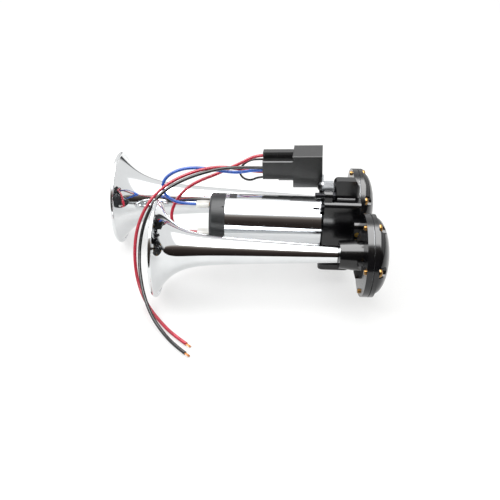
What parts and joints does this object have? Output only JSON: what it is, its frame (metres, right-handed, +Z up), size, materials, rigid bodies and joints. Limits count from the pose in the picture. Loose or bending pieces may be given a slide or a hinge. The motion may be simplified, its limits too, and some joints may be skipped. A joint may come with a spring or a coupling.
{
  "type": "car air horn",
  "caption": "Electric air horn with a long and a short chrome trumpet on round drivers, a cylindrical motor with an air pump between them, a relay and loose supply wires.",
  "frame": {"origin": "under the middle of the horn without its wires, in the plane that the long trumpet's bell stands on", "axes": "+X along the trumpets from the bells to the drivers, +Y from the short trumpet to the long one, +Z up, away from the pump's mounting foot"},
  "size_m": [0.2234, 0.2078, 0.0962],
  "materials": {
    "chrome": "mirror polished",
    "black_gloss": "moulded, glossy",
    "black_satin": "moulded, satin",
    "grey_cap": "matt dark grey",
    "yellow_zinc": "yellow passivated zinc",
    "bright_zinc": "bright zinc",
    "black_steel": "black oxide",
    "steel": "bare steel",
    "copper": "bare copper",
    "brass": "bare brass",
    "bronze": "sintered bronze",
    "ferrite": "pressed ferrite",
    "graphite": "graphite",
    "aluminium": "machined",
    "rubber": "matt",
    "foam": "open-cell foam",
    "pvc_black": "PVC insulation",
    "pvc_red": "PVC insulation",
    "pvc_blue": "PVC insulation",
    "nylon": "natural nylon"
  },
  "bodies": {
    "horn": {"air_manifold": "black_gloss", "brush_terminal_lower": "brass", "brush_terminal_upper": "brass", "bush_drive": "bronze", "bush_end_cap": "bronze", "copper_supply_black": "copper", "copper_supply_red": "copper", "diaphragm_long": "steel", "diaphragm_short": "steel", "driver_base_long": "black_gloss", "driver_base_short": "black_gloss", "driver_cap_long": "black_gloss", "driver_cap_short": "black_gloss", "driver_nuts_long": "yellow_zinc", "driver_nuts_short": "yellow_zinc", "driver_screws_long": "yellow_zinc", "driver_screws_short": "yellow_zinc", "gallery_plugs": "brass", "gasket_long": "rubber", "gasket_short": "rubber", "intake_cover": "black_gloss", "intake_filter": "foam", "lug_bolt": "black_steel", "lug_nut": "black_steel", "motor_brushes": "graphite", "motor_can": "chrome", "motor_end_cap": "grey_cap", "motor_magnets": "ferrite", "motor_screws": "bright_zinc", "mount_insert": "brass", "pump_base": "black_gloss", "pump_body": "black_gloss", "pump_screws": "black_steel", "receptacle_blue": "brass", "receptacle_red": "brass", "relay_base": "black_satin", "relay_bracket": "bright_zinc", "relay_case": "black_satin", "relay_coil": "copper", "relay_core": "steel", "relay_nuts": "bright_zinc", "relay_pins": "brass", "relay_screw": "black_steel", "relay_socket": "black_satin", "sleeve_blue": "nylon", "sleeve_red": "nylon", "trumpet_long": "chrome", "trumpet_short": "chrome", "wire_jumper": "pvc_black", "wire_motor_blue": "pvc_blue", "wire_motor_red": "pvc_red", "wire_supply_black": "pvc_black", "wire_supply_red": "pvc_red"},
    "armature": {"motor_shaft": "steel", "armature_core": "steel", "armature_windings": "copper", "commutator": "copper", "pump_rotor": "aluminium", "pump_vanes": "graphite"}
  },
  "joints": [
    {"name": "motor_spin", "type": "hinge", "parent": "horn", "child": "armature", "pos_m": [0, -0.00135, 0.0447], "axis": [1, 0, 0], "continuous": true}
  ]
}
